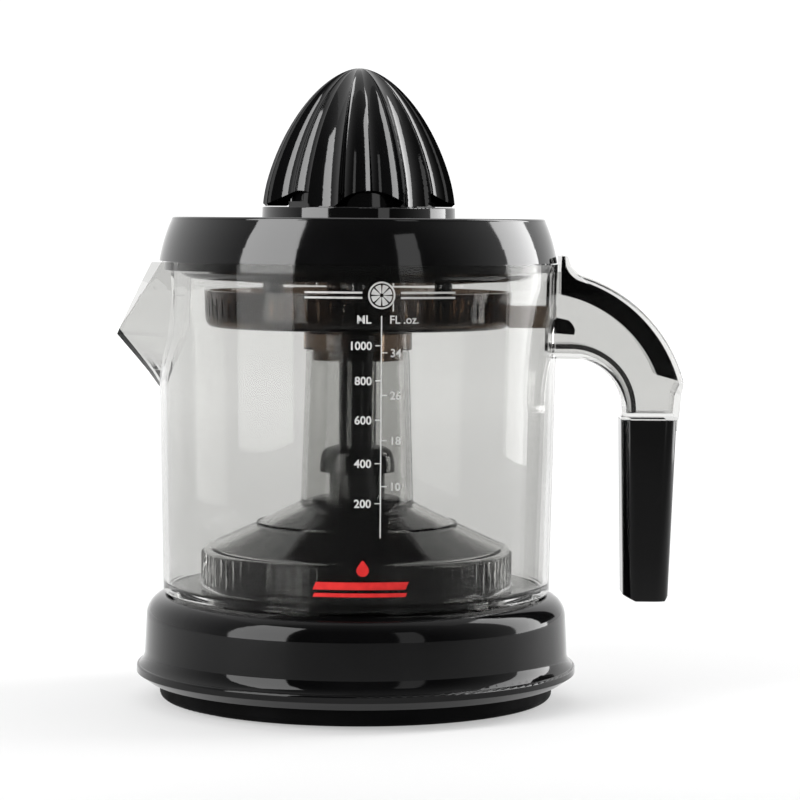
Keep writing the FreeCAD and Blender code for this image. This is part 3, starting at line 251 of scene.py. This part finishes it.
class Print:
    """Flat artwork in (across, up) that is then wrapped round the front of the jug."""

    def __init__(self, name, material):
        self.name, self.material = name, material
        self.mesh = bmesh.new()

    def patch(self, rows):
        """Quads between rows of points; all rows have the same number of points."""
        grid = [[self.mesh.verts.new((u, 0.0, v)) for u, v in row] for row in rows]
        for below, above in zip(grid, grid[1:]):
            for i in range(len(below) - 1):
                self.mesh.faces.new((below[i], below[i + 1], above[i + 1], above[i]))

    def bar(self, left, right, low, high, slant=0.0, steps=24):
        rows = []
        for level, shift in ((low, 0.0), (high, slant)):
            rows.append([(left + (right - left) * i / steps + shift, level)
                         for i in range(steps + 1)])
        self.patch(rows)

    def sector(self, centre, inner, outer, start, end, steps):
        rows = []
        for radius in (inner, outer):
            angles = [math.radians(start + (end - start) * i / steps) for i in range(steps + 1)]
            rows.append([(centre[0] + radius * math.cos(a), centre[1] + radius * math.sin(a))
                         for a in angles])
        self.patch(rows)

    def words(self, text, across, up, align, thicken):
        """Lettering from the built-in font, its capitals centred on a height."""
        curve = bpy.data.curves.new(self.name + "_lettering", "FONT")
        curve.body = text
        curve.size = LETTER_HEIGHT / CAP_SHARE
        curve.align_x = align
        curve.offset = thicken
        curve.resolution_u = 4
        holder = bpy.data.objects.new(self.name + "_lettering", curve)
        bpy.context.scene.collection.objects.link(holder)
        bpy.context.view_layer.update()
        flat = bpy.data.meshes.new_from_object(
            holder.evaluated_get(bpy.context.evaluated_depsgraph_get()))
        flat.transform(Matrix.Translation((across, 0.0, up - LETTER_HEIGHT / 2))
                       @ Matrix.Rotation(math.radians(90.0), 4, "X"))
        self.mesh.from_mesh(flat)
        bpy.data.objects.remove(holder)
        bpy.data.meshes.remove(flat)
        bpy.data.curves.remove(curve)

    def wrapped(self):
        for vertex in self.mesh.verts:
            across, up = vertex.co.x, vertex.co.z
            radius = wall_radius(up) + INK_LIFT
            angle = across / radius
            vertex.co = (radius * math.sin(angle), -radius * math.cos(angle), up)
        bmesh.ops.recalc_face_normals(self.mesh, faces=self.mesh.faces)
        data = bpy.data.meshes.new(self.name)
        self.mesh.to_mesh(data)
        self.mesh.free()
        data.materials.append(self.material)
        piece = bpy.data.objects.new(self.name, data)
        bpy.context.scene.collection.objects.link(piece)
        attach(piece, "jug_body")


def printed_scale():
    """The measuring scale: millilitres on the left of a line, fluid ounces on its right."""
    art = Print("measuring_scale", ink("ink_white", (0.52, 0.52, 0.51), (0.6, 0.6, 0.59)))
    art.bar(SCALE_ACROSS - LINE_HALF, SCALE_ACROSS + LINE_HALF, SCALE_LOW, SCALE_HIGH, steps=1)
    tick_half = LINE_HALF * 0.8
    columns = ((MILLILITRES, -1.0, 0.0012, "RIGHT", BOLD), (OUNCES, 1.0, 0.001, "LEFT", FINE))
    for marks, side, gap, align, weight in columns:
        tip = SCALE_ACROSS + side * TICK
        for text, up in marks.items():
            art.bar(min(tip, SCALE_ACROSS), max(tip, SCALE_ACROSS),
                    up - tick_half, up + tick_half, steps=2)
            art.words(text, tip + side * gap, up, align, weight)
    headings = (("ML", 0.0031, BOLD), ("FL .oz.", 0.0174, FINE))
    for text, across, weight in headings:
        art.words(text, across, SCALE_HIGH - 0.0012, "CENTER", weight)
    art.wrapped()


def printed_slice():
    """A cut citrus fruit between two plain lines, above the scale."""
    art = Print("fruit_slice_mark", ink("ink_silver", (0.44, 0.44, 0.43), (0.52, 0.52, 0.51)))
    centre = (SCALE_ACROSS, 0.1531)
    rim_inner, rim_outer = 0.0042, 0.0048
    flesh_inner, flesh_outer = 0.0007, 0.0037
    segments, gap = 8, 5.0
    line_near, line_far = 0.0068, 0.0272
    line_apart, line_half = 0.0009, 0.00035
    art.sector(centre, rim_inner, rim_outer, 0.0, 360.0, 64)
    for number in range(segments):
        start = 360.0 * number / segments
        end = start + 360.0 / segments - gap
        art.sector(centre, flesh_inner, flesh_outer, start + gap, end, 8)
    for side in (-1.0, 1.0):
        near, far = side * line_near, side * line_far
        for up in (-line_apart, line_apart):
            art.bar(centre[0] + min(near, far), centre[0] + max(near, far),
                    centre[1] + up - line_half, centre[1] + up + line_half)
    art.wrapped()


def printed_flash():
    """A plain red band low on the jug, with a juice drop over it."""
    art = Print("red_flash_mark", ink("ink_red", (0.52, 0.012, 0.012), (0.62, 0.02, 0.018)))
    left, right = -0.0145, 0.0185
    art.bar(left, right, 0.0468, 0.0482, slant=0.0006)
    art.bar(left, right, 0.0494, 0.0521, slant=0.0012)
    centre, radius = (0.0032, 0.0563), 0.0022
    sides, hole = 28, 0.02          # the hole in its middle, as a share of the radius
    inner, outer = [], []
    for i in range(sides + 1):      # a circle drawn up to a point at its top
        angle = math.tau * i / sides
        peak = max(0.0, math.cos(angle)) ** 5 * 0.6 + 1.0
        outer.append((centre[0] + radius * math.sin(angle) * (0.7 + 0.3 / peak),
                      centre[1] + radius * math.cos(angle) * peak))
        inner.append((centre[0] + radius * hole * math.sin(angle),
                      centre[1] + radius * hole * math.cos(angle)))
    art.patch([inner, outer])
    art.wrapped()


# ---------------------------------------------------------------- studio


def light_panel(name, place, wide, tall, radiance):
    """A diffuse panel that the camera doesn't see; it faces down until it is turned."""
    data = bpy.data.lights.new(name, "AREA")
    data.shape = "RECTANGLE"
    data.size, data.size_y = wide, tall
    data.energy = radiance * math.pi * wide * tall
    panel = bpy.data.objects.new(name, data)
    panel.location = place
    panel.visible_camera = False
    bpy.context.scene.collection.objects.link(panel)
    return panel


def softbox(name, azimuth, distance, height, wide, tall, radiance):
    """An upright panel facing the press; azimuth 0 is the front, positive to the right."""
    angle = math.radians(azimuth)
    spot = Vector((math.sin(angle) * distance, -math.cos(angle) * distance, height))
    panel = light_panel(name, spot, wide, tall, radiance)
    panel.rotation_euler = (Vector((0.0, 0.0, height)) - spot).to_track_quat("-Z", "Y").to_euler()


def backdrop_light():
    """The room's soft light: bright behind the press, dim in front of it."""
    world = bpy.data.worlds.new("studio")
    world.use_nodes = True
    nodes, links = world.node_tree.nodes, world.node_tree.links
    direction = nodes.new("ShaderNodeTexCoord").outputs["Generated"]
    split = nodes.new("ShaderNodeSeparateXYZ")
    links.new(direction, split.inputs["Vector"])
    ramp = nodes.new("ShaderNodeMapRange")
    ramp.interpolation_type = "SMOOTHSTEP"
    for name, value in (("From Min", -0.8), ("From Max", 0.6), ("To Min", 0.06), ("To Max", 1.1)):
        ramp.inputs[name].default_value = value
    links.new(split.outputs["Y"], ramp.inputs["Value"])
    links.new(ramp.outputs["Result"], nodes["Background"].inputs["Strength"])
    nodes["Background"].inputs["Color"].default_value = (1.0, 1.0, 1.0, 1.0)
    bpy.context.scene.world = world


def floor():
    """A large pale disc that the press stands on; its emission is painted light, dark in front of
    the press and glowing brighter behind it.
    """
    mesh = bmesh.new()
    bmesh.ops.create_circle(mesh, cap_ends=True, cap_tris=True, segments=96, radius=6.0)
    data = bpy.data.meshes.new("studio_floor")
    mesh.to_mesh(data)
    mesh.free()
    recipe = Recipe("studio_floor_painted_glow").set(Specular_IOR_Level=0.1,
                                              Emission_Color=(1.0, 1.0, 1.0, 1.0))
    recipe.colour(recipe.noise(3.0), (0.40, 0.40, 0.40), (0.42, 0.42, 0.42))
    recipe.roughness(recipe.noise(2.0), 0.7, 0.8)
    # The emission is painted light: none in front of the press, a glow beside it, brightest far
    # behind.
    split = recipe.nodes.new("ShaderNodeSeparateXYZ")
    depth = recipe.nodes.new("ShaderNodeMapRange")
    depth.inputs["From Min"].default_value = FLOOR_NEAR
    depth.inputs["From Max"].default_value = FLOOR_FAR
    glow = recipe.nodes.new("ShaderNodeValToRGB")
    glow.color_ramp.interpolation = "EASE"
    stops = glow.color_ramp.elements
    stops.new(0.5)
    for stop, (share, strength) in zip(stops, FLOOR_GLOW):
        stop.position = share
        stop.color = (strength, strength, strength, 1.0)
    recipe.links.new(recipe.place, split.inputs["Vector"])
    recipe.links.new(split.outputs["Y"], depth.inputs["Value"])
    recipe.links.new(depth.outputs["Result"], glow.inputs["Fac"])
    recipe.links.new(glow.outputs["Color"], recipe.shader.inputs["Emission Strength"])
    data.materials.append(recipe.material)
    piece = bpy.data.objects.new("studio_floor", data)
    bpy.context.scene.collection.objects.link(piece)


def camera():
    data = bpy.data.cameras.new("camera")
    data.lens = LENS
    data.sensor_width = SENSOR
    data.clip_start, data.clip_end = 0.05, 50.0
    eye = bpy.data.objects.new("camera", data)
    tilt = Euler((math.radians(90.0 - CAMERA_DIP), 0.0, 0.0)).to_matrix().to_4x4()
    roll = Matrix.Rotation(math.radians(CAMERA_ROLL), 4, "Z")
    eye.matrix_world = Matrix.Translation(CAMERA_PLACE) @ tilt @ roll
    bpy.context.scene.collection.objects.link(eye)
    bpy.context.scene.camera = eye


dress_frame()
printed_scale()
printed_slice()
printed_flash()

bpy.context.scene.view_settings.view_transform = "Standard"
backdrop_light()
# name, azimuth, distance, height of its middle, width, height, radiance
softbox("left_panel", -52.0, 0.9, 0.55, 0.55, 1.4, 7.5)
softbox("right_panel", 109.0, 0.9, 0.55, 0.5, 1.4, 7.0)
softbox("front_right_panel", 30.0, 1.3, 0.5, 0.3, 1.2, 1.2)
light_panel("overhead_panel", (0.0, 0.9, 1.6), 2.4, 2.4, 0.35)
floor()
camera()
